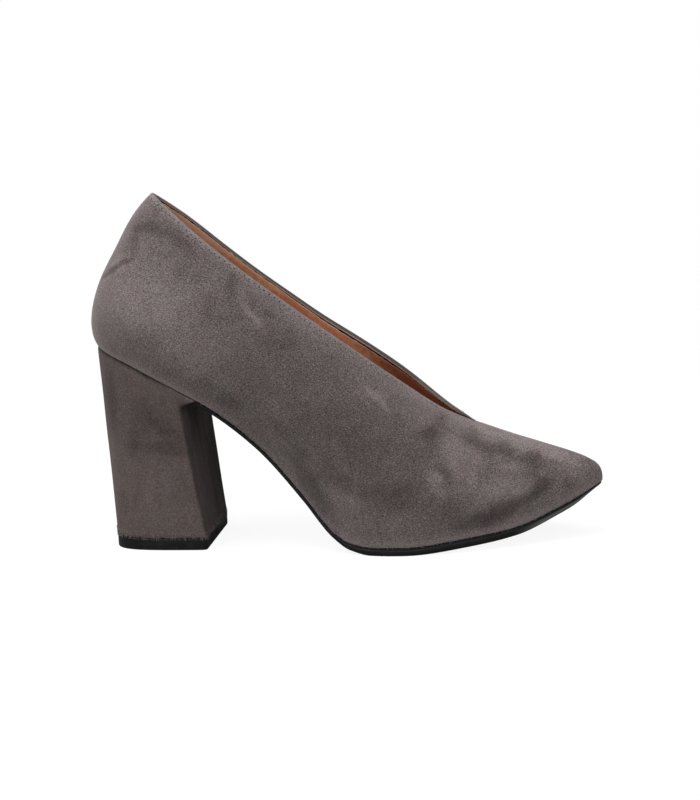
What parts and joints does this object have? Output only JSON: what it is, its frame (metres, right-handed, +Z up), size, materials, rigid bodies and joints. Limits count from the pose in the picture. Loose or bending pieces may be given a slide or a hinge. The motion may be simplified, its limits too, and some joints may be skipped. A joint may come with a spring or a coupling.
{
  "type": "suede pump shoe",
  "caption": "Women's right suede court shoe with a pointed toe, a deep V throat, a tan leather lining, a thin black sole and a covered block heel.",
  "frame": {"origin": "middle of the bounding box, on the floor the shoe stands on", "axes": "+X from heel to toe, +Y to the medial side, +Z up"},
  "size_m": [0.2252, 0.0794, 0.156],
  "materials": {
    "grey_suede": "matte napped taupe-grey suede",
    "tan_leather": "smooth tan lining leather",
    "black_rubber": "satin black moulded rubber"
  },
  "bodies": {
    "root": {"upper": "grey_suede", "insole": "tan_leather", "outsole": "black_rubber", "heel_block": "grey_suede", "top_piece": "black_rubber"}
  },
  "joints": []
}
